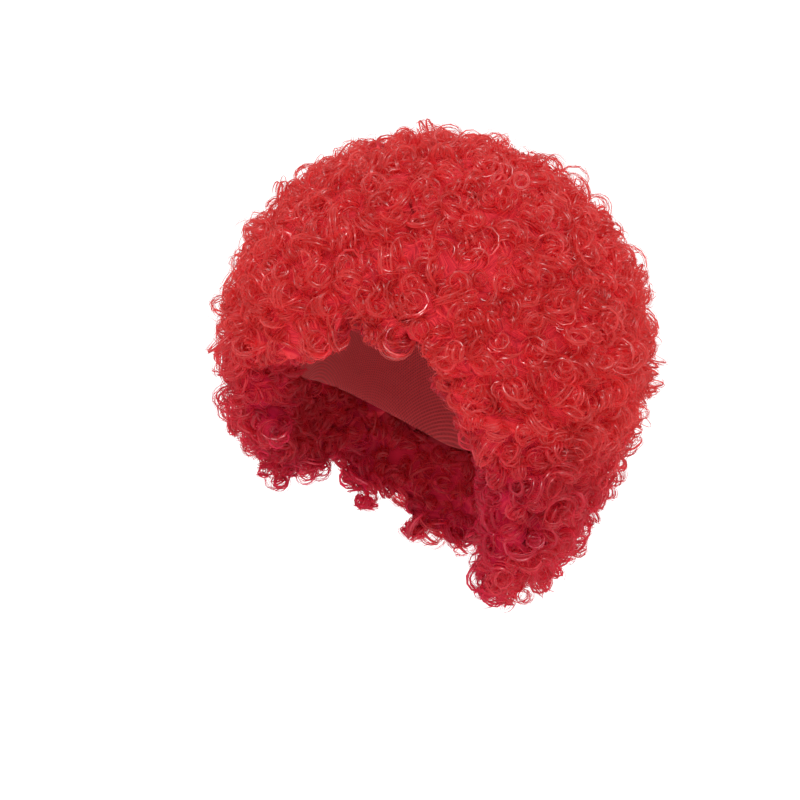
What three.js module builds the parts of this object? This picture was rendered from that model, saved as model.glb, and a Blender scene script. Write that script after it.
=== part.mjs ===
// Curly afro costume wig: a thin stretch cap with eight rows of curled fibre sewn round it.
// Millimetres, +Z up. The face looks along -Y and +X is the wearer's left.
// The origin is the point inside the crown of the cap that rests on the top of the head.
import * as THREE from "three";
import { ConvexHull } from "three/addons/math/ConvexHull.js";

// Driving dimensions of the head that the cap fits: an ellipsoid dome and, below it, a slowly narrowing tube.
const HEAD = { halfWidth: 77, halfLength: 97, domeHeight: 100, sideTaper: 0.05, lengthTaper: 0.18 };
const CAP = { wall: 2, hemWall: 3.2, columns: 28, rings: 8 };

// Every reach and every polar angle below is taken from this point, inside the head.
const HAIR_CENTRE = new THREE.Vector3(0, 5, -74);
const WEFT_COUNT = 8;
const SEAT_GAP = 1.3;
const WEFT_GAP = 0.6;

// Curls: how far apart they stand on the outside, how far one may stray from its place as a share of that, how
// deep the valley between two is, and the least fibre left under a valley.
const CURL = { spacing: 30.5, jitter: 0.17, valley: 11, thinnest: 5 };

// The curls that frame the face roll in towards it: how far round that edge goes, the step between its sampled
// points, how far back the roll starts, and how thick the hair still is at the edge. Angles in degrees.
const FACE_RIM = { around: 64, step: 2, angle: 22, edgeShare: 0.3 };

// One curl from its edge to its middle, as a lock wound into a ring: how far out each turn lies from the
// middle, as a share of the patch, and how high it stands over the valley where its spiral starts and ends.
const SHOULDER = { share: 0.78, start: 0.46, end: 0.66 };
const CREST = { share: 0.46, start: 0.84, end: 1 };
const EYE_RISE = 0.68;

// How far the hair stands out, by angle from straight up: to the front, to either side and to the back.
const HAIR_FORM = [
  { polar: 0, front: 147, side: 147, back: 147 },
  { polar: 45, front: 146, side: 148, back: 149 },
  { polar: 70, front: 142, side: 150, back: 151 },
  { polar: 88, front: 132, side: 150, back: 152 },
  { polar: 105, front: 128, side: 150, back: 153 },
  { polar: 122, front: 128, side: 155, back: 157 },
  { polar: 134, front: 128, side: 168, back: 169 },
  { polar: 150, front: 128, side: 174, back: 175 },
];

// Lower edges of the curls and of the cap, by angle round from the middle of the forehead.
const LOWER_EDGE = [
  { around: 0, curls: 83, cap: 80 },
  { around: 14, curls: 86, cap: 82 },
  { around: 28, curls: 97, cap: 88 },
  { around: 46, curls: 113, cap: 101 },
  { around: 58, curls: 131, cap: 112 },
  { around: 66, curls: 145, cap: 118 },
  { around: 100, curls: 147, cap: 122 },
  { around: 180, curls: 147, cap: 132 },
];

const RED_FIBRE = new THREE.MeshStandardMaterial({ color: 0xbb2b2e, roughness: 0.5, metalness: 0 });
const RED_NET = new THREE.MeshStandardMaterial({ color: 0x8c1c22, roughness: 0.85, metalness: 0 });

const radians = THREE.MathUtils.degToRad;
const degrees = THREE.MathUtils.radToDeg;

// Value of a column at a place between two rows of a table that is sorted by key.
function between(table, key, at, column) {
  const found = table.findIndex((row) => row[key] >= at);
  const next = found < 0 ? table.length - 1 : Math.max(1, found);
  const [low, high] = [table[next - 1], table[next]];
  const share = THREE.MathUtils.clamp((at - low[key]) / (high[key] - low[key]), 0, 1);
  return THREE.MathUtils.lerp(low[column], high[column], share);
}

// Repeatable pseudo-random numbers from 0 to 1.
function randomFrom(seed) {
  return () => {
    seed = (seed * 1664525 + 1013904223) % 4294967296;
    return seed / 4294967296;
  };
}

// Unit direction from an angle off straight up and an angle round from the forehead, both in degrees.
function direction(polar, around) {
  const flat = Math.sin(radians(polar));
  return new THREE.Vector3(
    flat * Math.sin(radians(around)),
    -flat * Math.cos(radians(around)),
    Math.cos(radians(polar)),
  );
}

const polarOf = (d) => degrees(Math.acos(THREE.MathUtils.clamp(d.z, -1, 1)));
const aroundOf = (d) => degrees(Math.atan2(Math.abs(d.x), -d.y));
const at = (d, reach) => HAIR_CENTRE.clone().addScaledVector(d, reach);

// Distance from the hair centre to the head's surface grown by a clearance, found by halving.
function headReach(d, grown) {
  const outside = (reach) => {
    const p = at(d, reach);
    const below = Math.max(0, -HEAD.domeHeight - p.z);
    const across = p.x / (HEAD.halfWidth + grown - HEAD.sideTaper * below);
    const along = p.y / (HEAD.halfLength + grown - HEAD.lengthTaper * below);
    const up = Math.max(0, p.z + HEAD.domeHeight) / (HEAD.domeHeight + grown);
    return across * across + along * along + up * up > 1;
  };
  let low = 0;
  let high = 4 * HEAD.halfLength;
  while (high - low > 1e-4) {
    const middle = (low + high) / 2;
    if (outside(middle)) high = middle;
    else low = middle;
  }
  return low;
}

const rootReach = (d) => headReach(d, CAP.wall + SEAT_GAP);

// Directions along the edge of the hair round the face, on the wearer's left.
const faceEdge = Array.from({ length: 1 + FACE_RIM.around / FACE_RIM.step }, (_, i) => {
  const around = i * FACE_RIM.step;
  return direction(between(LOWER_EDGE, "around", around, "curls"), around);
});

// Distance from the hair centre to the tips of the curls: the form's front, side and back columns blended, and
// then rolled in near the face.
function hairReach(d) {
  const flat = Math.hypot(d.x, d.y) || 1;
  const ahead = -d.y / flat;
  const blend = { front: Math.max(0, ahead) ** 2, side: 1 - ahead ** 2, back: Math.max(0, -ahead) ** 2 };
  const full = Object.entries(blend).reduce(
    (sum, [column, share]) => sum + share * between(HAIR_FORM, "polar", polarOf(d), column), 0);
  const onLeft = new THREE.Vector3(Math.abs(d.x), d.y, d.z);
  const fromFace = degrees(Math.min(...faceEdge.map((edge) => edge.angleTo(onLeft))));
  const open = 1 - Math.min(1, fromFace / FACE_RIM.angle);
  const root = rootReach(d);
  return root + (full - root) * THREE.MathUtils.lerp(FACE_RIM.edgeShare, 1, Math.sqrt(1 - open * open));
}

function meshGeometry(points, triangles) {
  const positions = points.flatMap((p) => [p.x, p.y, p.z]);
  return new THREE.BufferGeometry()
    .setAttribute("position", new THREE.Float32BufferAttribute(positions, 3))
    .setIndex(triangles.flat());
}

// The cap: an inner and an outer dome over the same grid of directions, joined along the lower edge.
function capGeometry() {
  const points = [at(direction(0, 0), headReach(direction(0, 0), 0)),
    at(direction(0, 0), headReach(direction(0, 0), CAP.wall))];
  const triangles = [];
  const index = (wall, ring, column) => 2 + ((ring - 1) * CAP.columns + (column % CAP.columns)) * 2 + wall;
  for (let ring = 1; ring <= CAP.rings; ring++) {
    for (let column = 0; column < CAP.columns; column++) {
      const turn = (360 * column) / CAP.columns;
      const edge = between(LOWER_EDGE, "around", Math.min(turn, 360 - turn), "cap");
      const d = direction((edge * ring) / CAP.rings, turn);
      const hem = ring === CAP.rings ? CAP.wall - CAP.hemWall : 0;
      points.push(at(d, headReach(d, hem)), at(d, headReach(d, CAP.wall)));
    }
  }
  const quad = (a, b, c, d) => triangles.push([a, b, c], [a, c, d]);
  for (let column = 0; column < CAP.columns; column++) {
    triangles.push([0, index(0, 1, column + 1), index(0, 1, column)]);
    triangles.push([1, index(1, 1, column), index(1, 1, column + 1)]);
    for (let ring = 1; ring < CAP.rings; ring++) {
      const [above, below] = [ring, ring + 1];
      const next = column + 1;
      quad(index(0, above, column), index(0, above, next), index(0, below, next), index(0, below, column));
      quad(index(1, above, column), index(1, below, column), index(1, below, next), index(1, above, next));
    }
    const rim = CAP.rings;
    quad(index(1, rim, column), index(0, rim, column), index(0, rim, column + 1), index(1, rim, column + 1));
  }
  return meshGeometry(points, triangles);
}

// One direction per curl, spread evenly over the whole sphere by the golden angle and then shifted a little.
function curlDirections() {
  const sphere = 4 * Math.PI * HAIR_FORM[0].side ** 2;
  const hexagon = (Math.sqrt(3) / 2) * CURL.spacing ** 2;
  const count = Math.round(sphere / hexagon);
  const goldenAngle = Math.PI * (3 - Math.sqrt(5));
  const random = randomFrom(11);
  const shift = (CURL.jitter * CURL.spacing) / HAIR_FORM[0].side;
  return Array.from({ length: count }, (_, i) => {
    const up = 1 - (2 * i + 1) / count;
    const flat = Math.sqrt(1 - up * up);
    const d = new THREE.Vector3(flat * Math.cos(i * goldenAngle), flat * Math.sin(i * goldenAngle), up);
    const nudge = new THREE.Vector3(random() - 0.5, random() - 0.5, random() - 0.5);
    return d.addScaledVector(nudge, 2 * shift).normalize();
  });
}

// The patch of scalp round each curl: its corners are where three neighbouring curls meet.
function curlCells(directions) {
  const cells = new Map(directions.map((d) => [d, { d, corners: [] }]));
  new ConvexHull().setFromPoints(directions).faces.forEach((face, i) => {
    const owners = [0, 1, 2].map((k) => cells.get(face.getEdge(k).head().point));
    const corner = { i, d: face.normal.clone().normalize(), owners };
    owners.forEach((cell) => cell.corners.push(corner));
  });
  for (const cell of cells.values()) {
    const east = new THREE.Vector3(-cell.d.y, cell.d.x, 0).normalize();
    const north = cell.d.clone().cross(east);
    const turn = (corner) => Math.atan2(corner.d.dot(north), corner.d.dot(east));
    cell.corners.sort((a, b) => turn(a) - turn(b));
    cell.polar = polarOf(cell.d);
    cell.covered = cell.polar < between(LOWER_EDGE, "around", aroundOf(cell.d), "curls");
  }
  return [...cells.values()];
}

// One row: the patches of its curls side by side, each rising from the cap to a lock wound into a ring.
function weftGeometry(row) {
  const inRow = new Set(row);
  const random = randomFrom(row.length);
  const points = [];
  const triangles = [];
  const put = (d, reach) => points.push(at(d, reach)) - 1;
  const valleyReach = (d) => Math.max(hairReach(d) - CURL.valley, rootReach(d) + CURL.thinnest);
  const risen = (d, rise) => put(d, THREE.MathUtils.lerp(valleyReach(d), hairReach(d), rise));
  const corners = new Map();

  const cornerOf = (corner) => {
    if (!corners.has(corner)) {
      const own = corner.owners.filter((cell) => inRow.has(cell));
      const others = corner.owners.filter((cell) => !inRow.has(cell));
      const d = corner.d.clone();
      if (others.length > 0) {
        // Towards the only curl of this row, or away from the only curl of the next one.
        const inward = own.length === 1 ? own[0].d.clone().sub(d) : d.clone().sub(others[0].d);
        d.addScaledVector(inward.normalize(), WEFT_GAP / 2 / HEAD.halfWidth).normalize();
      }
      corners.set(corner, { d, root: put(d, rootReach(d)), valley: put(d, valleyReach(d)) });
    }
    return corners.get(corner);
  };

  for (const cell of row) {
    const edge = cell.corners.map(cornerOf);
    const sides = edge.length;
    const first = Math.floor(random() * sides);
    const turnOf = (level) => edge.map((corner, k) => {
      const wound = ((k + first) % sides) / (sides - 1);
      const d = cell.d.clone().lerp(corner.d, level.share).normalize();
      return risen(d, THREE.MathUtils.lerp(level.start, level.end, wound));
    });
    const loops = [edge.map((corner) => corner.valley), turnOf(SHOULDER), turnOf(CREST)];
    const eye = risen(cell.d, EYE_RISE);
    for (let k = 0; k < sides; k++) {
      const n = (k + 1) % sides;
      for (let loop = 0; loop + 1 < loops.length; loop++) {
        const [outer, inner] = [loops[loop], loops[loop + 1]];
        triangles.push([outer[k], outer[n], inner[n]], [outer[k], inner[n], inner[k]]);
      }
      triangles.push([loops.at(-1)[k], loops.at(-1)[n], eye]);
      if (k > 0 && n > 0) triangles.push([edge[0].root, edge[n].root, edge[k].root]);
      const [here, there] = [cell.corners[k], cell.corners[n]];
      const beside = here.owners.find((other) => other !== cell && there.owners.includes(other));
      if (!inRow.has(beside)) {
        // The next row splits the same wall along the same diagonal, so the gap between them stays even.
        const quad = [edge[n].valley, edge[k].valley, edge[k].root, edge[n].root];
        if (here.i < there.i) quad.push(quad.shift());
        triangles.push([quad[0], quad[1], quad[2]], [quad[0], quad[2], quad[3]]);
      }
    }
  }
  return meshGeometry(points, triangles);
}

const group = new THREE.Group();
function add(name, geometry, material) {
  const mesh = new THREE.Mesh(geometry, material);
  mesh.name = name;
  group.add(mesh);
}

add("cap", capGeometry(), RED_NET);
const cells = curlCells(curlDirections()).filter((cell) => cell.covered);
const lowest = Math.max(...cells.map((cell) => cell.polar));
for (let w = 0; w < WEFT_COUNT; w++) {
  const inBand = (cell) => Math.min(WEFT_COUNT - 1, Math.floor((WEFT_COUNT * cell.polar) / lowest)) === w;
  add(`weft_row_${w + 1}`, weftGeometry(cells.filter(inBand)), RED_FIBRE);
}

export default group;
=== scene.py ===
"""Looks of a red curly afro costume wig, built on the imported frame.

The eight rows of the frame give the form. Each row is dressed with a felted undercoat, with ringlets that
are wound from flat strands, and with loose single loops on top. The cap keeps its form, with its facets
smoothed away, and becomes a knitted net. Everything is in metres, +Z up, and the open face looks along -Y.
"""

import logging
import math
from dataclasses import dataclass
from enum import Enum
from typing import Any

import bmesh
import bpy
import numpy as np
from mathutils import Matrix, Vector
from mathutils.bvhtree import BVHTree


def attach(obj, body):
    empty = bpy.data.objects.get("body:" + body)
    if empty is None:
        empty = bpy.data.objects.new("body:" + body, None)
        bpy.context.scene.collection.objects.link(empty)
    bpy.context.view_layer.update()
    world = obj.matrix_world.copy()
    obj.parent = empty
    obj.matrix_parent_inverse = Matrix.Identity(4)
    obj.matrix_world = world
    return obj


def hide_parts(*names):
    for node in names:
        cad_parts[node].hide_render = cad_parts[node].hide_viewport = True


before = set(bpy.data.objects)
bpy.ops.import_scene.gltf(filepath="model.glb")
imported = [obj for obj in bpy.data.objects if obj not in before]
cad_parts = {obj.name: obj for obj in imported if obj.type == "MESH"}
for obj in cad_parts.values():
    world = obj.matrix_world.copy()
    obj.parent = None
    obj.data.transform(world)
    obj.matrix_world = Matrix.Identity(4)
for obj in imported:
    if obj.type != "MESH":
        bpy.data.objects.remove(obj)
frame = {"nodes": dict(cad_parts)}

LOG = logging.getLogger("wig")
MM = 0.001
TAU = 2.0 * math.pi
STRAND = "strand"
SHADE = "shade"
WEAVE = "weave"
BAKE_MAP = "OFBake"
# The first half of the strand chart holds the dyed reds; places past it are for painted shadow.
LIT_STRANDS = 0.5
LEAST_DUSK = 0.02
HAIR_CENTRE = np.array((0.0, 5.0, -74.0)) * MM
MERGE = 0.01 * MM
TINY = 1e-12
FIRST_SEED = 21
# Sockets of a mix node that is set to colours.
MIX_A, MIX_B, MIX_RESULT = 6, 7, 2
# Blender's wave texture repeats after this length when its scale is one.
WAVE_PERIOD = math.pi / 10.0
Array = np.ndarray


def linear(hex_colour: str) -> tuple[float, float, float, float]:
    """Turns an sRGB hex colour into linear light, by the curve of the sRGB standard.

    Args:
        hex_colour: six hex digits after a hash sign.

    Returns:
        Red, green, blue and an alpha of one.
    """
    parts = [int(hex_colour[i : i + 2], 16) / 255 for i in (1, 3, 5)]
    red, green, blue = (p / 12.92 if p <= 0.04045 else ((p + 0.055) / 1.055) ** 2.4 for p in parts)
    return red, green, blue, 1.0


def add_node(tree: bpy.types.NodeTree, kind: str, settings: dict[str, Any], inputs: dict[Any, Any]) -> Any:
    """Adds one shader node with its settings and links.

    Args:
        tree: the tree that gets the node.
        kind: Blender's name for the type of node.
        settings: properties of the node; "stops" fills a colour ramp with (place, hex colour) pairs.
        inputs: for each socket, a constant, or the socket that is linked to it.

    Returns:
        The new node.
    """
    node = tree.nodes.new(kind)
    for name, value in settings.items():
        if name == "stops":
            ramp = node.color_ramp.elements
            while len(ramp) < len(value):
                ramp.new(1.0)
            for element, (place, colour) in zip(ramp, value):
                element.position = place
                element.color = linear(colour)
        else:
            setattr(node, name, value)
    for name, value in inputs.items():
        if isinstance(value, bpy.types.NodeSocket):
            tree.links.new(value, node.inputs[name])
        else:
            node.inputs[name].default_value = value
    return node


def new_material(name: str) -> tuple[bpy.types.Material, bpy.types.NodeTree]:
    """Makes an empty node material.

    Args:
        name: the material's name.

    Returns:
        The material and its node tree, with nothing in it.
    """
    material = bpy.data.materials.new(name)
    material.use_nodes = True
    material.node_tree.nodes.clear()
    return material, material.node_tree


@dataclass(frozen=True)
class CurledFibre:
    """Modacrylic fibre, spun, dyed red in the mass and set into curls with steam.

    To the eye it is a saturated red with a soft plastic gloss: small pale glints where a strand turns, a
    slightly different red from strand to strand, and a darker, purplish red where light reaches it only
    through other strands. That shade is painted into the colour: a more saturated red as painted shade
    for strands that lie low in the hair, and a purplish red as painted shadow beside and below the face.
    """

    name: str = "modacrylic_fibre_steam_curled"
    dark: str = "#DC4646"
    middle: str = "#EA5452"
    light: str = "#F4706C"
    stops: tuple[float, float, float] = (0.3, 0.5, 0.7)
    # Painted shade: the more saturated red that strands take as they lie lower in the hair.
    painted_shade_red: str = "#FC3C48"
    painted_shade_share: float = 0.9
    # Painted shadow: the purplish red that strands take beside and below the face.
    painted_shadow_red: str = "#D81254"
    bundles: float = 25.0
    fineness: float = 4.0
    contrast: float = 0.8
    relief: float = 0.25 * MM
    relief_strength: float = 0.1
    ior: float = 1.52
    specular: float = 0.9
    roughness: tuple[float, float] = (0.28, 0.42)
    crimp: float = 0.8 * MM
    crimp_detail: float = 1.0
    translucent: tuple[float, float] = (0.8, 0.4)

    def build(self) -> bpy.types.Material:
        """Makes the material: one attribute gives dye and painted shadow, the other painted shade by depth.

        Returns:
            The finished material.
        """
        material, tree = new_material(self.name)
        strand = add_node(tree, "ShaderNodeAttribute", {"attribute_name": STRAND}, {})
        shade = add_node(tree, "ShaderNodeAttribute", {"attribute_name": SHADE}, {})
        lines = add_node(
            tree,
            "ShaderNodeTexNoise",
            {"noise_dimensions": "1D"},
            {
                "W": strand.outputs["Fac"],
                "Scale": self.bundles,
                "Detail": self.fineness,
                "Roughness": self.contrast,
            },
        )
        stops = list(zip(self.stops, (self.dark, self.middle, self.light)))
        lit = add_node(tree, "ShaderNodeValToRGB", {"stops": stops}, {"Fac": lines.outputs["Fac"]})
        # Painted shade: strands that lie lower in the hair are mixed towards a more saturated red.
        depth = add_node(
            tree, "ShaderNodeMapRange", {}, {"Value": shade.outputs["Fac"], "To Max": self.painted_shade_share}
        )
        painted_shade_mix = add_node(
            tree,
            "ShaderNodeMix",
            {"data_type": "RGBA"},
            {"Factor": depth.outputs["Result"], MIX_A: lit.outputs["Color"], MIX_B: linear(self.painted_shade_red)},
        )
        # Painted shadow: places past the lit half of the strand chart are mixed towards a purplish red.
        dusk = add_node(
            tree, "ShaderNodeMapRange", {}, {"Value": strand.outputs["Fac"], "From Min": LIT_STRANDS}
        )
        colour = add_node(
            tree,
            "ShaderNodeMix",
            {"data_type": "RGBA"},
            {
                "Factor": dusk.outputs["Result"],
                MIX_A: painted_shade_mix.outputs[MIX_RESULT],
                MIX_B: linear(self.painted_shadow_red),
            },
        )
        bump = add_node(
            tree,
            "ShaderNodeBump",
            {},
            {"Height": lines.outputs["Fac"], "Distance": self.relief, "Strength": self.relief_strength},
        )
        # The crimp is too small to be wound here, so it is drawn as a change of gloss along a strand.
        place = add_node(tree, "ShaderNodeTexCoord", {}, {})
        crimp = add_node(
            tree,
            "ShaderNodeTexNoise",
            {},
            {"Vector": place.outputs["Object"], "Scale": 1.0 / self.crimp, "Detail": self.crimp_detail},
        )
        gloss = add_node(
            tree,
            "ShaderNodeMapRange",
            {},
            {"Value": crimp.outputs["Fac"], "To Min": self.roughness[0], "To Max": self.roughness[1]},
        )
        shader = add_node(
            tree,
            "ShaderNodeBsdfPrincipled",
            {},
            {
                "Base Color": colour.outputs[MIX_RESULT],
                "Normal": bump.outputs["Normal"],
                "Roughness": gloss.outputs["Result"],
                "IOR": self.ior,
                "Specular IOR Level": self.specular,
            },
        )
        # Light passes through the thin strands, so hair that lies in shadow glows in its own red.
        through = add_node(tree, "ShaderNodeBsdfTranslucent", {}, {"Color": colour.outputs[MIX_RESULT]})
        share = add_node(
            tree,
            "ShaderNodeMapRange",
            {},
            {"Value": shade.outputs["Fac"], "To Min": self.translucent[0], "To Max": self.translucent[1]},
        )
        both = add_node(
            tree,
            "ShaderNodeMixShader",
            {},
            {0: share.outputs["Result"], 1: shader.outputs["BSDF"], 2: through.outputs["BSDF"]},
        )
        add_node(tree, "ShaderNodeOutputMaterial", {}, {"Surface": both.outputs["Shader"]})
        return material


@dataclass(frozen=True)
class FeltWithPaintedShade(CurledFibre):
    """The same modacrylic fibre, teased and matted into a felt.

    To the eye it is matt, with no glints and no light through it, and with stronger lines of dark and light
    red than the single strands have. Its dark and middle reds are darker than the strands' as painted
    shade for the gaps between the ringlets, where the felt shows.
    """

    name: str = "modacrylic_fibre_felted_painted_shade"
    # Painted shade: darker reds than the strands', for the gaps between the ringlets where the felt shows.
    dark: str = "#981626"
    middle: str = "#D02A38"
    light: str = "#FF5456"
    # Painted shadow: a darker purplish red beside and below the face.
    painted_shadow_red: str = "#A80B3E"
    specular: float = 0.05
    roughness: tuple[float, float] = (0.85, 0.95)
    translucent: tuple[float, float] = (0.0, 0.0)


@dataclass(frozen=True)
class StretchNet:
    """Nylon net, warp-knitted with elastic thread and dyed red.

    To the eye it is a dull, dark red with a fine grid of threads and darker holes; the holes are painted
    a darker red, as painted shade seen through the net. The real mesh is about 1 mm; it is drawn at 2.4 mm
    so that it shows.
    """

    name: str = "nylon_stretch_net_knitted"
    thread: str = "#C22F35"
    painted_hole_shade: str = "#861820"
    stops: tuple[float, float] = (0.35, 0.75)
    mesh: float = 2.4 * MM
    relief: float = 0.35 * MM
    relief_strength: float = 0.8
    ior: float = 1.53
    roughness: float = 0.72
    sheen: float = 0.25
    sheen_tint: str = "#FF9A94"

    def build(self) -> bpy.types.Material:
        """Makes the material from two crossing sets of threads along the weave attribute.

        Returns:
            The finished material.
        """
        material, tree = new_material(self.name)
        weave = add_node(tree, "ShaderNodeAttribute", {"attribute_name": WEAVE}, {})
        threads = []
        for direction in ("X", "Y"):
            wave = add_node(
                tree,
                "ShaderNodeTexWave",
                {"bands_direction": direction},
                {"Vector": weave.outputs["Vector"], "Scale": WAVE_PERIOD / self.mesh},
            )
            threads.append(wave.outputs["Fac"])
        knit = add_node(tree, "ShaderNodeMath", {"operation": "MAXIMUM"}, {0: threads[0], 1: threads[1]})
        # The holes between the threads are painted a darker red: painted shade seen through the net.
        stops = list(zip(self.stops, (self.painted_hole_shade, self.thread)))
        colour = add_node(tree, "ShaderNodeValToRGB", {"stops": stops}, {"Fac": knit.outputs["Value"]})
        bump = add_node(
            tree,
            "ShaderNodeBump",
            {},
            {"Height": knit.outputs["Value"], "Distance": self.relief, "Strength": self.relief_strength},
        )
        shader = add_node(
            tree,
            "ShaderNodeBsdfPrincipled",
            {},
            {
                "Base Color": colour.outputs["Color"],
                "Normal": bump.outputs["Normal"],
                "Roughness": self.roughness,
                "IOR": self.ior,
                "Sheen Weight": self.sheen,
                "Sheen Tint": linear(self.sheen_tint),
            },
        )
        add_node(tree, "ShaderNodeOutputMaterial", {}, {"Surface": shader.outputs["BSDF"]})
        return material


@dataclass(frozen=True)
class StudioPaper:
    """White background paper, calendered and matt: an even pale ground with no edge that shows."""

    name: str = "background_paper_matt"
    colour: str = "#FAFAFA"
    grain: float = 3.0 * MM
    roughness: tuple[float, float] = (0.85, 0.95)

    def build(self) -> bpy.types.Material:
        """Makes the material with a faint paper grain in its gloss.

        Returns:
            The finished material.
        """
        material, tree = new_material(self.name)
        place = add_node(tree, "ShaderNodeTexCoord", {}, {})
        grain = add_node(
            tree, "ShaderNodeTexNoise", {}, {"Vector": place.outputs["Object"], "Scale": 1.0 / self.grain}
        )
        gloss = add_node(
            tree,
            "ShaderNodeMapRange",
            {},
            {"Value": grain.outputs["Fac"], "To Min": self.roughness[0], "To Max": self.roughness[1]},
        )
        shader = add_node(
            tree,
            "ShaderNodeBsdfPrincipled",
            {},
            {"Base Color": linear(self.colour), "Roughness": gloss.outputs["Result"]},
        )
        add_node(tree, "ShaderNodeOutputMaterial", {}, {"Surface": shader.outputs["BSDF"]})
        return material


class Side(Enum):
    """Where a piece of the hair's surface looks."""

    OUTER = "out of the wig"
    RIM = "towards the open face"
    HEM = "down"
    INNER = "towards the head"

    @property
    def number(self) -> int:
        """The side's number in arrays."""
        return list(Side).index(self)


class Lie(Enum):
    """How a ringlet lies on the surface that it grows from."""

    STANDING = "its coil faces outwards"
    LYING = "its coil lies along the surface"
    HANGING = "its coil hangs down"


@dataclass
class Seats:
    """Places for ringlets, one row of each array for a place. The dusk is the share of painted shadow
    there.
    """

    points: Array
    normals: Array
    sides: Array
    dusk: Array

    def kept(self, keep: Array) -> "Seats":
        """Keeps some of the places."""
        return Seats(self.points[keep], self.normals[keep], self.sides[keep], self.dusk[keep])

    def only(self, side: Side) -> "Seats":
        """Keeps the places of one side."""
        return self.kept(self.sides == side.number)


@dataclass
class Strips:
    """Flat strands or patches that become one mesh.

    Each point has a place among the dyed strands, a depth that sets its painted shade, and the way the
    surface looks there, which is zero where the faces tell it.
    """

    points: Array
    faces: Array
    strand: Array
    shade: Array
    looks: Array


def unit(vectors: Array) -> Array:
    """Scales vectors to a length of one."""
    return vectors / np.maximum(np.linalg.norm(vectors, axis=-1, keepdims=True), TINY)


def smooth(low: float, high: float, values: Array) -> Array:
    """Goes from zero at low to one at high, with flat ends."""
    share = np.clip((values - low) / (high - low), 0.0, 1.0)
    return share * share * (3.0 - 2.0 * share)


def dyed(dusk: Array, lit: Array) -> Array:
    """Chooses places among the dyed strands: by dye where it is lit, and for painted shadow where dusk
    lies.

    Args:
        dusk: how much painted shadow each point gets.
        lit: the places for points without shadow.

    Returns:
        The places. Places for painted shadow come after the lit ones, the darkest last.
    """
    return np.where(dusk > LEAST_DUSK, LIT_STRANDS + (1.0 - LIT_STRANDS) * dusk, lit)


def mesh_arrays(node: bpy.types.Object) -> tuple[Array, Array]:
    """Reads a frame node.

    Args:
        node: the imported object.

    Returns:
        Its points, and its triangles as rows of three point numbers.
    """
    mesh = node.data
    mesh.calc_loop_triangles()
    points = np.empty(len(mesh.vertices) * 3)
    mesh.vertices.foreach_get("co", points)
    triangles = np.empty(len(mesh.loop_triangles) * 3, dtype=np.int32)
    mesh.loop_triangles.foreach_get("vertices", triangles)
    return points.reshape(-1, 3), triangles.reshape(-1, 3)


def new_piece(name: str, dressed: list[tuple[Strips, bpy.types.Material]]) -> bpy.types.Object:
    """Joins strips into one object that carries the strand attributes.

    Args:
        name: the object's name.
        dressed: what is joined, each with its finish. Every face has four corners, and a triangle repeats
            its last one.

    Returns:
        The new object, linked to the scene.
    """
    strips = [each for each, _ in dressed]
    finishes = list(dict.fromkeys(finish for _, finish in dressed))
    starts = np.cumsum([0] + [len(s.points) for s in strips])
    points = np.concatenate([s.points for s in strips])
    faces = np.concatenate([s.faces + start for s, start in zip(strips, starts)])
    is_quad = faces[:, 2] != faces[:, 3]
    sizes = np.where(is_quad, 4, 3).astype(np.int32)
    corners = faces[np.arange(4)[None, :] < sizes[:, None]].astype(np.int32)
    mesh = bpy.data.meshes.new(name)
    for finish in finishes:
        mesh.materials.append(finish)
    mesh.vertices.add(len(points))
    mesh.vertices.foreach_set("co", points.astype(np.float32).ravel())
    mesh.loops.add(len(corners))
    mesh.loops.foreach_set("vertex_index", corners)
    mesh.polygons.add(len(faces))
    firsts = np.concatenate([[0], np.cumsum(sizes)[:-1]])
    mesh.polygons.foreach_set("loop_start", firsts.astype(np.int32))
    chosen = np.repeat([finishes.index(finish) for _, finish in dressed], [len(s.faces) for s in strips])
    mesh.polygons.foreach_set("material_index", chosen.astype(np.int32))
    mesh.update(calc_edges=True)
    mesh.shade_smooth()
    mesh.normals_split_custom_set_from_vertices(np.concatenate([s.looks for s in strips]).tolist())
    strand = np.concatenate([s.strand for s in strips]).astype(np.float32)
    shade = np.concatenate([s.shade for s in strips]).astype(np.float32)
    for attribute, values in ((STRAND, strand), (SHADE, shade)):
        mesh.attributes.new(attribute, "FLOAT", "POINT").data.foreach_set("value", values)
    # The colour, its painted shade and shadow included, depends on these two numbers alone, so they are
    # also each point's place on the chart for a bake.
    chart = mesh.uv_layers.new(name=BAKE_MAP)
    chart.uv.foreach_set("vector", np.stack([strand[corners], shade[corners]], axis=1).ravel())
    piece = bpy.data.objects.new(name, mesh)
    bpy.context.scene.collection.objects.link(piece)
    return piece


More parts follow.
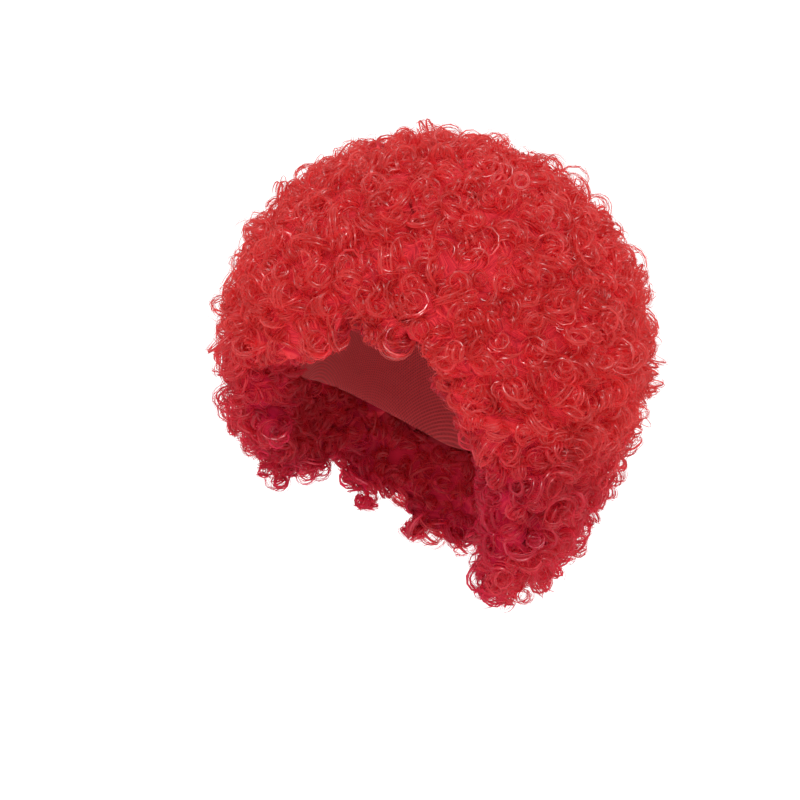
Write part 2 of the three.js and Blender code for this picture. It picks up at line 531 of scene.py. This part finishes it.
@dataclass
class HairBed:
    """The outside of the frame's rows, on which the ringlets stand."""

    nodes: dict[str, bpy.types.Object]
    spacing: float = 9.3 * MM
    tries: int = 60000
    outer_facing: float = 0.25
    inner_facing: float = -0.5
    hem_facing: float = -0.5
    start_way: float = 0.4 * MM
    head_half: tuple[float, float, float] = (77.0 * MM, 97.0 * MM, 100.0 * MM)
    drawn_share: float = 0.1
    clump_size: float = 22.0 * MM
    clump_rise: float = 0.6
    # Painted shadow beside the face and below it, taken into the strands' colour.
    rim_painted_shadow: float = 0.7
    rim_reach: tuple[float, float] = (6.0 * MM, 30.0 * MM)
    low_painted_shadow: float = 0.4
    low_reach: tuple[float, float] = (-150.0 * MM, -70.0 * MM)
    right_hem_reach: tuple[float, float] = (-205.0 * MM, -165.0 * MM)
    left_hem_reach: tuple[float, float] = (-185.0 * MM, -115.0 * MM)
    hem_drawn: tuple[float, float] = (2.4, 0.0)
    hem_sides: tuple[float, float] = (-50.0 * MM, 50.0 * MM)
    hem_raised: float = 0.25
    hem_raised_below: float = -150.0 * MM
    hem_raised_sides: tuple[float, float] = (-75.0 * MM, -30.0 * MM)
    cap_way: float = 160.0 * MM
    cap_margin: float = 0.8 * MM
    fringe_line: tuple[tuple[float, float], ...] = (
        (-60.0 * MM, -260.0 * MM),
        (-45.0 * MM, -90.0 * MM),
        (-20.0 * MM, -62.0 * MM),
        (40.0 * MM, -56.0 * MM),
        (50.0 * MM, -85.0 * MM),
        (60.0 * MM, -260.0 * MM),
    )
    fringe_front: tuple[float, float] = (-80.0 * MM, -60.0 * MM)
    fringe_raised: float = 0.8
    seed: int = 5

    def __post_init__(self) -> None:
        """Reads the meshes and makes the tree that tells what is exposed."""
        self.meshes = {name: mesh_arrays(node) for name, node in self.nodes.items()}
        starts = np.cumsum([0] + [len(points) for points, _ in self.meshes.values()])
        points = np.concatenate([points for points, _ in self.meshes.values()])
        triangles = np.concatenate([t + start for (_, t), start in zip(self.meshes.values(), starts)])
        self.tree = BVHTree.FromPolygons(points.tolist(), triangles.tolist())
        self.cap = BVHTree.FromPolygons(*(part.tolist() for part in self.meshes["cap"]))

    def is_exposed(self, point: Array, direction: Array, way: float = 6.0 * MM) -> bool:
        """Tells whether nothing lies close to a point of the surface in one direction.

        Args:
            point: the point.
            direction: where it looks.
            way: how far it looks.

        Returns:
            True if the way is clear.
        """
        start = Vector(point + direction * self.start_way)
        return self.tree.ray_cast(start, Vector(direction), way)[0] is None

    def drawn_in(self, points: Array, deeper: float = 0.0) -> Array:
        """Moves points of the hair towards the head.

        Args:
            points: the points.
            deeper: how much further than the ringlets they go, as a share of the hair's thickness.

        Returns:
            The moved points.
        """
        away = points - HAIR_CENTRE
        reach = np.linalg.norm(away, axis=1, keepdims=True)
        root = 1.0 / np.linalg.norm(away / reach / np.array(self.head_half), axis=1, keepdims=True)
        # The hem is fuller on the wearer's left than on the right.
        left = smooth(*self.hem_sides, points[:, :1])
        hem = self.hem_drawn[0] + (self.hem_drawn[1] - self.hem_drawn[0]) * left
        above = smooth(*self.right_hem_reach, points[:, 2:]) * (1.0 - left)
        above = above + smooth(*self.left_hem_reach, points[:, 2:]) * left
        share = deeper + self.drawn_share * (hem + (1.0 - hem) * above)
        return points - share * np.maximum(0.0, reach - root) * away / reach

    def raised(self, points: Array) -> Array:
        """Shortens the fringe, whose points move most of the way up to its line, and the hem on the right.

        Args:
            points: points of the hair.

        Returns:
            The moved points.
        """
        line = np.interp(points[:, 0], *np.transpose(self.fringe_line))
        below = np.maximum(0.0, line - points[:, 2]) * (1.0 - smooth(*self.fringe_front, points[:, 1]))
        moved = points.copy()
        moved[:, 2] += self.fringe_raised * below
        under = np.maximum(0.0, self.hem_raised_below - points[:, 2])
        moved[:, 2] += self.hem_raised * under * (1.0 - smooth(*self.hem_raised_sides, points[:, 0]))
        return moved

    def clear_of_cap(self, points: Array) -> Array:
        """Moves points that would lie in the cap's wall or in the head's room out to the cap's outside.

        Args:
            points: points of the strands.

        Returns:
            The moved points.
        """
        moved = points.copy()
        centre = Vector(HAIR_CENTRE)
        reach = np.linalg.norm(points - HAIR_CENTRE, axis=1)
        for i in np.flatnonzero(reach < self.cap_way):
            way = (Vector(points[i]) - centre).normalized()
            hit = self.cap.ray_cast(centre + way * self.cap_way, -way, self.cap_way)[0]
            if hit is not None and (hit - centre).length + self.cap_margin > reach[i]:
                moved[i] = hit + way * self.cap_margin
        return moved

    def painted_shadow_at(self, points: Array) -> Array:
        """Tells how much painted shadow points of the hair get.

        Args:
            points: the points.

        Returns:
            A share for each point: most beside the face and below it, and none on the crown.
        """
        from_rim = np.min(np.linalg.norm(points[:, None] - self.rims[None], axis=2), axis=1)
        low = 1.0 - smooth(*self.low_reach, points[:, 2])
        return np.maximum(self.rim_painted_shadow * (1.0 - smooth(*self.rim_reach, from_rim)), self.low_painted_shadow) * low

    def clumped(self, points: Array, rise: float) -> Array:
        """Raises the crests of the hair and lowers its valleys, or the other way round.

        Args:
            points: points on the outside of the hair.
            rise: how much higher a crest gets, as a share of its height above the places near it.

        Returns:
            The moved points.
        """
        away = points - HAIR_CENTRE
        reach = np.linalg.norm(away, axis=1)
        near = np.linalg.norm(points[:, None] - self.outside[None], axis=2) < self.clump_size
        heights = np.linalg.norm(self.outside - HAIR_CENTRE, axis=1)
        mean = np.where(near.any(axis=1), near @ heights / np.maximum(near.sum(axis=1), 1), reach)
        return points + (rise * (reach - mean) / reach)[:, None] * away

    def thinned(self, points: Array, normals: Array) -> list[int]:
        """Chooses exposed places that keep their distance from each other.

        Args:
            points: the places, in the order in which they are tried.
            normals: where they look.

        Returns:
            The numbers of the places that are kept.
        """
        kept: list[int] = []
        grid: dict[tuple[int, int, int], list[int]] = {}
        around = [(i, j, k) for i in (-1, 0, 1) for j in (-1, 0, 1) for k in (-1, 0, 1)]
        for number, point in enumerate(points):
            x, y, z = (int(v) for v in np.floor(point / self.spacing))
            near = [n for i, j, k in around for n in grid.get((x + i, y + j, z + k), [])]
            if near and np.min(np.linalg.norm(points[near] - point, axis=1)) < self.spacing:
                continue
            if self.is_exposed(point, normals[number]):
                grid.setdefault((x, y, z), []).append(number)
                kept.append(number)
        return kept

    def seats(self, rows: list[str]) -> dict[str, Seats]:
        """Spreads places evenly over the exposed surface of some rows.

        Args:
            rows: names of the frame's nodes.

        Returns:
            For each row, the places on it.
        """
        random = np.random.default_rng(self.seed)
        corners = [self.meshes[row][0][self.meshes[row][1]] for row in rows]
        owner = np.repeat(np.arange(len(rows)), [len(c) for c in corners])
        corners = np.concatenate(corners)
        cross = np.cross(corners[:, 1] - corners[:, 0], corners[:, 2] - corners[:, 0])
        area = np.linalg.norm(cross, axis=1)
        pick = random.choice(len(area), self.tries, p=area / area.sum())
        along = np.sqrt(random.random(self.tries))[:, None]
        across = random.random(self.tries)[:, None]
        a, b, c = corners[pick].transpose(1, 0, 2)
        points = a * (1 - along) + along * (b * (1 - across) + c * across)
        normals = unit(cross[pick])
        kept = self.thinned(points, normals)
        points, normals, owner = points[kept], normals[kept], owner[pick][kept]
        outwards = unit(points - HAIR_CENTRE)
        facing = np.sum(outwards * normals, axis=1)
        is_outer = facing > self.outer_facing
        sides = np.select(
            [is_outer, facing < self.inner_facing, normals[:, 2] < self.hem_facing],
            [side.number for side in (Side.OUTER, Side.INNER, Side.HEM)],
            Side.RIM.number,
        )
        is_drawn = is_outer | (sides == Side.HEM.number)
        self.rims = points[sides == Side.RIM.number]
        self.outside = points[is_outer]
        dusk = self.painted_shadow_at(points)
        normals = np.where(is_outer[:, None], unit(normals + outwards), normals)
        points = np.where(is_outer[:, None], self.clumped(points, self.clump_rise), points)
        points = self.raised(np.where(is_drawn[:, None], self.drawn_in(points), points))
        seats = Seats(points, normals, sides, dusk)
        return {row: seats.kept(owner == r) for r, row in enumerate(rows)}


@dataclass(frozen=True)
class RingletStyle:
    """How the ringlets of one side of the hair are wound. Pairs give the least and the most.

    Strands are drawn 0.25 to 0.5 mm wide, loose loops 0.5 mm, and strands of the locks under the ringlets
    1.2 to 1.8 mm, where real fibre is about 0.1 mm. A coil's first strand is the broad body of its lock.
    """

    coil: tuple[float, float] = (4.8 * MM, 11.0 * MM)
    bundle: tuple[float, float] = (1.9 * MM, 1.1 * MM)
    pitch: tuple[float, float] = (3.2 * MM, 5.4 * MM)
    turns: tuple[float, float] = (1.6, 3.0)
    taper: float = 0.35
    wobble: float = 0.16
    bend: float = 3.0 * MM
    strands: int = 7
    width: tuple[float, float] = (0.25 * MM, 0.5 * MM)
    body: float = 1.3 * MM
    stray: float = 0.45 * MM
    steps: int = 24
    sunk: tuple[float, float] = (-1.5 * MM, 6.0 * MM)
    lies: tuple[tuple[Lie, float], ...] = ((Lie.STANDING, 0.4), (Lie.LYING, 0.6))
    tilt: float = 0.9
    # The least share of painted shadow, a purplish red in the colour, on every coil of this kind.
    shadow: float = 0.0
    roundness: float = 0.7


# Beside the face, underneath and on the inside, the coils get painted shadow in their colour.
STYLES = {
    Side.OUTER: RingletStyle(),
    Side.RIM: RingletStyle(
        coil=(4.8 * MM, 8.5 * MM),
        lies=((Lie.STANDING, 0.3), (Lie.LYING, 0.4), (Lie.HANGING, 0.3)),
        shadow=0.6,
    ),
    Side.HEM: RingletStyle(
        coil=(4.8 * MM, 8.5 * MM),
        lies=((Lie.STANDING, 0.2), (Lie.LYING, 0.6), (Lie.HANGING, 0.2)),
        shadow=0.45,
    ),
    Side.INNER: RingletStyle(
        turns=(1.2, 2.0),
        strands=6,
        steps=18,
        sunk=(0.0 * MM, 3.0 * MM),
        lies=((Lie.LYING, 1.0),),
        shadow=0.35,
    ),
}
UNDER_LOCKS = RingletStyle(
    coil=(6.5 * MM, 10.5 * MM),
    turns=(0.9, 1.4),
    taper=0.2,
    strands=4,
    width=(1.2 * MM, 1.8 * MM),
    stray=0.8 * MM,
    steps=14,
    sunk=(4.0 * MM, 6.5 * MM),
    lies=((Lie.STANDING, 0.7), (Lie.LYING, 0.3)),
)
INNER_LOCKS = RingletStyle(
    coil=(3.5 * MM, 7.0 * MM),
    turns=(0.9, 1.4),
    taper=0.2,
    strands=4,
    width=(1.2 * MM, 1.8 * MM),
    stray=0.8 * MM,
    steps=12,
    sunk=(-1.0 * MM, 3.0 * MM),
    lies=((Lie.LYING, 1.0),),
    shadow=0.35,
)
LOOSE_LOOPS = RingletStyle(
    coil=(5.0 * MM, 9.0 * MM),
    turns=(0.6, 1.2),
    taper=0.15,
    strands=1,
    body=0.5 * MM,
    stray=1.2 * MM,
    steps=16,
    sunk=(-1.0 * MM, 2.0 * MM),
    tilt=0.7,
)


def joined(points: Array, looks: Array, strand: Array, shade: Array, flipped: Array) -> Strips:
    """Joins grids of points into strips.

    Args:
        points: the points, in an array that runs over strips, columns across a strip and steps along it.
        looks: the way the surface looks at each point.
        strand: each point's place among the dyed strands.
        shade: each point's depth, which sets its painted shade.
        flipped: for each strip, whether its corners run the other way round.

    Returns:
        All strips together.
    """
    count, columns, steps = points.shape[:3]
    number = np.arange(count * columns * steps).reshape(count, columns, steps)
    here, beside = number[:, :-1], number[:, 1:]
    faces = np.stack([here[..., :-1], beside[..., :-1], beside[..., 1:], here[..., 1:]], axis=-1)
    faces = faces.reshape(count, -1, 4)
    faces = np.where(flipped[:, None, None], faces[..., ::-1], faces)
    return Strips(
        points.reshape(-1, 3), faces.reshape(-1, 4), strand.ravel(), shade.ravel(), looks.reshape(-1, 3)
    )


@dataclass
class Ringlets:
    """Coils that are each wound from one lock of hair with a few strands that have come loose from it.

    The spreads of start and place, the twist, and the waves along a whole strand are in radians.
    """

    style: RingletStyle
    random: np.random.Generator
    strand_width: float = 0.5 * MM
    strands_dyed: float = 400.0
    dye_spread: float = 0.02
    lit: tuple[float, float] = (0.1, 0.9)
    small_bias: float = 2.5
    start_spread: float = 0.5
    place_spread: float = 0.6
    twist: float = 1.2
    sway_waves: tuple[float, float] = (2.0, 8.0)
    uneven_waves: tuple[float, float] = (4.0, 12.0)
    tip_taper: float = 6.0
    tip_width: float = 0.15
    # Strands from 9 mm below their place to 2 mm above it go from full painted shade to none.
    depth: tuple[float, float] = (-9.0 * MM, 2.0 * MM)

    def axes(self, seats: Seats) -> Array:
        """Chooses the direction along the middle of each coil.

        Args:
            seats: where the coils stand.

        Returns:
            One unit vector for each place.
        """
        count = len(seats.points)
        shares = np.array([share for _, share in self.style.lies])
        chosen = self.random.choice(len(shares), count, p=shares / shares.sum())
        loose = unit(self.random.normal(size=(count, 3)))
        flat = unit(loose - seats.normals * np.sum(loose * seats.normals, axis=1, keepdims=True))
        down = np.broadcast_to(np.array((0.0, 0.0, -1.0)), (count, 3))
        options = {Lie.STANDING: seats.normals, Lie.LYING: flat, Lie.HANGING: down}
        axes = np.zeros((count, 3))
        for i, (lie, _) in enumerate(self.style.lies):
            axes[chosen == i] = options[lie][chosen == i]
        return unit(axes + self.style.tilt * unit(self.random.normal(size=(count, 3))))

    def wind(self, seats: Seats) -> Strips:
        """Winds every coil.

        Args:
            seats: where the coils stand.

        Returns:
            All strands as flat ribbons. Arrays run over coils, strands and steps along a strand.
        """
        style, count, strands = self.style, len(seats.points), self.style.strands

        def drawn(low: float, high: float, each: int = 1) -> Array:
            """Draws even numbers, one for each coil or one for each strand."""
            return self.random.uniform(low, high, (count, each, 1))

        axis = self.axes(seats)[:, None, None]
        side = unit(np.cross(axis, unit(self.random.normal(size=(count, 1, 1, 3)))))
        third = np.cross(axis, side)
        along = np.linspace(0.0, 1.0, style.steps)[None, None, :]
        hand = self.random.choice((-1.0, 1.0), (count, 1, 1))
        turns = drawn(*style.turns)
        coil = style.coil[0] + (style.coil[1] - style.coil[0]) * drawn(0.0, 1.0) ** self.small_bias
        turn = drawn(0.0, TAU) + drawn(-self.start_spread, self.start_spread, strands)
        turn = turn + hand * TAU * turns * along
        out = np.cos(turn)[..., None] * side + np.sin(turn)[..., None] * third
        # The first strand is the broad body in the middle of the lock, and the others lie round it.
        around = np.minimum(np.arange(strands), 1)[None, :, None]
        place = TAU * np.arange(strands)[None, :, None] / strands
        place = place + drawn(-self.place_spread, self.place_spread, strands)
        place = around * (place + drawn(-self.twist, self.twist, strands) * along)
        sway = style.stray * np.sin(drawn(*self.sway_waves, strands) * along + drawn(0.0, TAU, strands))
        rise = drawn(*style.pitch) * turns * (along - 0.5) + around * style.bundle[0] * np.sin(place) + sway
        uneven = 1.0 + style.wobble * np.sin(drawn(*self.uneven_waves) * along + drawn(0.0, TAU))
        radius = coil * uneven * (1.0 - style.taper * along**2)
        radius = radius + around * style.bundle[1] * np.cos(place) + sway
        # The ends of a coil bend by one half to one side, and its middle by one half to the other.
        bend = drawn(-style.bend, style.bend) * (4.0 * (along - 0.5) ** 2 - 0.5)
        sunk = seats.normals * self.random.uniform(*style.sunk, (count, 1))
        path = (seats.points - sunk)[:, None, None] + axis * rise[..., None] + out * radius[..., None]
        path = path + side * bend[..., None]
        width = np.where(around, drawn(*style.width, strands), style.body)
        narrowed = np.clip(self.tip_taper * np.minimum(along, 1.0 - along), self.tip_width, 1.0)
        half = (width * narrowed / 2)[..., None]
        broad = np.cos(place)[..., None] * axis - np.sin(place)[..., None] * out
        off = np.cos(place)[..., None] * out + np.sin(place)[..., None] * axis
        lift = np.sum((path - seats.points[:, None, None]) * seats.normals[:, None, None], axis=-1)
        # Painted shade: the lower a strand lies in the hair, the more saturated red its colour takes.
        shade = 1.0 - smooth(*self.depth, lift)
        # Painted shadow: beside and below the face, and on the rim, hem and inner sides, strands take a
        # purplish red.
        dusk = np.maximum(style.shadow, seats.dusk)[:, None, None]
        pick = dyed(dusk, LIT_STRANDS * drawn(*self.lit, strands))
        pick = pick + drawn(-self.dye_spread, self.dye_spread, strands)
        spread = width / self.strand_width / self.strands_dyed
        edges = np.array((-0.5, 0.5))[:, None]
        strand = pick[..., None] + spread[..., None] * edges
        points = np.stack([path - broad * half, path + broad * half], axis=2)
        looks = unit(np.stack([off - style.roundness * broad, off + style.roundness * broad], axis=2))
        shape = (count * strands, 2, style.steps)
        return joined(
            points.reshape(*shape, 3),
            looks.reshape(*shape, 3),
            np.broadcast_to(strand, points.shape[:-1]).reshape(shape),
            np.repeat(shade[:, :, None], 2, axis=2).reshape(shape),
            np.repeat(hand.ravel() > 0, strands),
        )


@dataclass
class Undercoat:
    """The felted mass of fibre under the ringlets: the row's own form, drawn in towards the cap."""

    deeper: float = 0.06
    pressed: tuple[float, float] = (1.5 * MM, 5.0 * MM)
    overlap: float = 1.2 * MM
    edge_in: float = 4.0 * MM
    edge_way: float = 25.0 * MM
    edge_dip: float = 0.3
    evened: float = 0.7
    outer_facing: float = 0.2
    soft_facing: tuple[float, float] = (-0.3, 0.3)
    lit: tuple[float, float] = (0.25, 0.1)
    lit_ends: tuple[float, float] = (0.02, 0.48)
    seed: int = 3

    def build(self, node: bpy.types.Object, bed: HairBed) -> Strips:
        """Draws the row's solid in towards the head.

        Args:
            node: the row in the frame.
            bed: tells which points are exposed.

        Returns:
            Its triangles, a little smaller, with their reds.
        """
        random = np.random.default_rng(self.seed)
        mesh = bmesh.new()
        mesh.from_mesh(node.data)
        bmesh.ops.remove_doubles(mesh, verts=mesh.verts, dist=MERGE)
        bmesh.ops.triangulate(mesh, faces=mesh.faces)
        mesh.verts.ensure_lookup_table()
        mesh.normal_update()
        points = np.array([v.co for v in mesh.verts])
        normals = np.array([v.normal for v in mesh.verts])
        faces = np.array([[v.index for v in f.verts] for f in mesh.faces])
        mesh.free()
        outwards = unit(points - HAIR_CENTRE)
        facing = np.sum(outwards * normals, axis=1, keepdims=True)
        sideways = normals - facing * outwards
        past_edge = unit(unit(sideways) - self.edge_dip * outwards)
        is_free = np.array([[bed.is_exposed(p, d, self.edge_way)] for p, d in zip(points, past_edge)])
        exposed = np.array([[bed.is_exposed(p, n)] for p, n in zip(points, normals)])
        is_outer = facing[:, 0] > self.outer_facing
        points[is_outer] = bed.clumped(points[is_outer], -self.evened)
        points = points + smooth(*self.soft_facing, facing) * (bed.drawn_in(points, self.deeper) - points)
        points = points - np.where(facing > 0.0, *self.pressed) * exposed * facing * outwards
        # Rows reach a little into each other, so no slit opens between them, and free edges are drawn back.
        points = bed.raised(points + np.where(is_free, -self.edge_in, self.overlap) * sideways)
        lit = np.clip(random.normal(*self.lit, len(points)), *self.lit_ends)
        # Beside and below the face the felt, too, gets painted shadow.
        strand = dyed(bed.painted_shadow_at(points), lit)
        return Strips(points, faces[:, [0, 1, 2, 2]], strand, np.zeros(len(points)), np.zeros_like(points))


@dataclass
class WeftRow:
    """One sewn row of curled fibre."""

    name: str
    node: bpy.types.Object
    bed: HairBed
    seats: Seats
    seed: int
    loops_per_ringlet: int = 2

    def build(self, fibre: bpy.types.Material, felt: bpy.types.Material) -> bpy.types.Object:
        """Builds and dresses the row.

        Args:
            fibre: the finish of its strands.
            felt: the finish of the mass under them, in darker reds as painted shade.

        Returns:
            The row's piece, riding on the frame in place of its solid.
        """
        random = np.random.default_rng(self.seed)
        dressed = [(Undercoat(seed=self.seed).build(self.node, self.bed), felt)]
        sets = [(style, self.seats.only(side)) for side, style in STYLES.items()]
        sets.append((STYLES[Side.INNER], self.seats.only(Side.INNER)))
        sets.append((UNDER_LOCKS, self.seats.only(Side.OUTER)))
        sets += [(INNER_LOCKS, self.seats.only(side)) for side in (Side.INNER, Side.RIM, Side.RIM)]
        sets += [(LOOSE_LOOPS, self.seats.only(Side.OUTER))] * self.loops_per_ringlet
        for style, seats in sets:
            if len(seats.points):
                strips = Ringlets(style, random).wind(seats)
                strips.points = self.bed.clear_of_cap(strips.points)
                dressed.append((strips, fibre))
        piece = new_piece(f"{self.name}_curls", dressed)
        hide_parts(self.name)
        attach(piece, "root")
        return piece


@dataclass
class StretchCap:
    """The cap that the rows are sewn to: the frame's wall with its facets smoothed away."""

    name: str = "cap"
    piece_name: str = "cap_net"
    levels: int = 2
    crown_radius: float = 95.0 * MM
    least_flat: float = 1e-6

    def build(self, node: bpy.types.Object, net: bpy.types.Material) -> bpy.types.Object:
        """Builds and dresses the cap.

        Args:
            node: the cap in the frame.
            net: the finish of its wall.

        Returns:
            The cap's piece, riding on the frame in place of its solid.
        """
        mesh = bmesh.new()
        mesh.from_mesh(node.data)
        bmesh.ops.remove_doubles(mesh, verts=mesh.verts, dist=MERGE)
        bmesh.ops.join_triangles(
            mesh, faces=mesh.faces, angle_face_threshold=math.pi, angle_shape_threshold=math.pi
        )
        coarse = bpy.data.meshes.new("cap_coarse")
        mesh.to_mesh(coarse)
        mesh.free()
        holder = bpy.data.objects.new("cap_coarse", coarse)
        bpy.context.scene.collection.objects.link(holder)
        rounding = holder.modifiers.new("rounding", "SUBSURF")
        rounding.levels = self.levels
        rounded = holder.evaluated_get(bpy.context.evaluated_depsgraph_get())
        wall = bpy.data.meshes.new_from_object(rounded)
        bpy.data.objects.remove(holder)
        wall.name = self.piece_name
        wall.shade_smooth()
        wall.materials.append(net)
        self.weave(wall)
        piece = bpy.data.objects.new(self.piece_name, wall)
        bpy.context.scene.collection.objects.link(piece)
        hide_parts(self.name)
        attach(piece, "root")
        return piece

    def weave(self, wall: bpy.types.Mesh) -> None:
        """Lays the net's threads: a flat net that is stretched down over the dome from its crown."""
        points = np.empty(len(wall.vertices) * 3)
        wall.vertices.foreach_get("co", points)
        away = unit(points.reshape(-1, 3) - HAIR_CENTRE)
        flat = np.maximum(np.linalg.norm(away[:, :2], axis=1), self.least_flat)
        reach = self.crown_radius * np.arccos(np.clip(away[:, 2], -1.0, 1.0)) / flat
        laid = np.stack([away[:, 0] * reach, away[:, 1] * reach, np.zeros(len(away))], axis=1)
        threads = wall.attributes.new(WEAVE, "FLOAT_VECTOR", "POINT")
        threads.data.foreach_set("vector", laid.astype(np.float32).ravel())


@dataclass(frozen=True)
class SoftBox:
    """A round soft lamp, placed in metres to the right of, above and in front of the middle of the hair."""

    name: str
    place: tuple[float, float, float]
    size: float
    watts: float
    is_fill: bool


@dataclass
class Studio:
    """A flat white paper floor, a white room, soft lamps and the camera at the photograph's angle."""

    azimuth: float = 22.0
    elevation: float = 9.0
    lean: float = 15.0
    distance: float = 1.9
    millimetres_per_pixel: float = 0.66
    centre_pixel: tuple[float, float] = (433.0, 350.0)
    pixels: float = 800.0
    sensor: float = 36.0
    far_end: float = 100.0
    floor_below: float = 0.5
    floor_size: float = 40.0
    white: str = "#FFFFFF"
    sky: float = 1.22
    boxes: tuple[SoftBox, ...] = (
        SoftBox("key_box", (0.1, 0.9, 1.3), 0.7, 1.0, True),
        SoftBox("glint_box", (0.1, 0.9, 1.2), 0.22, 55.0, False),
    )

    def build(self, paper: bpy.types.Material) -> None:
        """Sets up the whole studio.

        Args:
            paper: the floor's finish.
        """
        self.camera()
        self.floor(paper)
        self.lamps()
        bpy.context.scene.view_settings.view_transform = "Standard"

    def directions(self) -> tuple[Vector, Vector, Vector]:
        """Works out the picture's axes.

        Returns:
            Unit vectors to the right, up and out of the picture towards the camera.
        """
        turn, rise, lean = (math.radians(v) for v in (self.azimuth, self.elevation, self.lean))
        back = Vector((math.sin(turn) * math.cos(rise), -math.cos(turn) * math.cos(rise), math.sin(rise)))
        level = Vector((0.0, 0.0, 1.0)).cross(back).normalized()
        upright = back.cross(level)
        right = level * math.cos(lean) + upright * math.sin(lean)
        up = upright * math.cos(lean) - level * math.sin(lean)
        return right, up, back

    def camera(self) -> None:
        """Places the camera so that the middle of the hair falls on its pixel."""
        right, up, back = self.directions()
        scale = self.millimetres_per_pixel * MM
        shift_right = (self.pixels / 2 - self.centre_pixel[0]) * scale
        shift_up = (self.centre_pixel[1] - self.pixels / 2) * scale
        data = bpy.data.cameras.new("camera")
        data.sensor_width = self.sensor
        data.lens = self.sensor * self.distance / (self.pixels * scale)
        data.clip_end = self.far_end
        camera = bpy.data.objects.new("camera", data)
        place = Vector(HAIR_CENTRE) + back * self.distance + right * shift_right + up * shift_up
        turned = Matrix((right, up, back)).transposed().to_4x4()
        camera.matrix_world = Matrix.Translation(place) @ turned
        bpy.context.scene.collection.objects.link(camera)
        bpy.context.scene.camera = camera

    def floor(self, paper: bpy.types.Material) -> None:
        """Lays the paper well below the wig."""
        half = self.floor_size / 2
        corners = [(-half, -half), (half, -half), (half, half), (-half, half)]
        mesh = bpy.data.meshes.new("floor")
        mesh.from_pydata([(x, y, -self.floor_below) for x, y in corners], [], [(0, 1, 2, 3)])
        mesh.materials.append(paper)
        floor = bpy.data.objects.new("floor", mesh)
        bpy.context.scene.collection.objects.link(floor)

    def lamps(self) -> None:
        """Lights the wig from a white room, a soft box in front, and a small one for the glints alone."""
        scene = bpy.context.scene
        world = bpy.data.worlds.new("white_room")
        world.use_nodes = True
        world.node_tree.nodes.clear()
        glow = add_node(
            world.node_tree, "ShaderNodeBackground", {}, {"Color": linear(self.white), "Strength": self.sky}
        )
        add_node(world.node_tree, "ShaderNodeOutputWorld", {}, {"Surface": glow.outputs["Background"]})
        scene.world = world
        directions = self.directions()
        for box in self.boxes:
            data = bpy.data.lights.new(box.name, "AREA")
            data.shape = "DISK"
            data.size = box.size
            data.energy = box.watts
            lamp = bpy.data.objects.new(box.name, data)
            offset = sum((way * metres for way, metres in zip(directions, box.place)), Vector())
            turned = offset.to_track_quat("Z", "Y").to_matrix().to_4x4()
            lamp.matrix_world = Matrix.Translation(Vector(HAIR_CENTRE) + offset) @ turned
            lamp.visible_diffuse = box.is_fill
            lamp.visible_transmission = box.is_fill
            scene.collection.objects.link(lamp)


def main() -> None:
    """Builds the wig piece by piece."""
    logging.basicConfig(level=logging.INFO, format="%(name)s: %(message)s")
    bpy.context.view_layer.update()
    nodes = frame["nodes"]
    rows = sorted(name for name in nodes if name.startswith("weft_row_"))
    fibre = CurledFibre().build()
    felt = FeltWithPaintedShade().build()
    Studio().build(StudioPaper().build())
    cap = StretchCap().build(nodes["cap"], StretchNet().build())
    LOG.info("%s: %d faces", cap.name, len(cap.data.polygons))
    bed = HairBed(nodes)
    seats = bed.seats(rows)
    for seed, row in enumerate(rows, start=FIRST_SEED):
        piece = WeftRow(row, nodes[row], bed, seats[row], seed).build(fibre, felt)
        LOG.info("%s: %d ringlets, %d faces", piece.name, len(seats[row].points), len(piece.data.polygons))


if __name__ == "__main__":
    main()
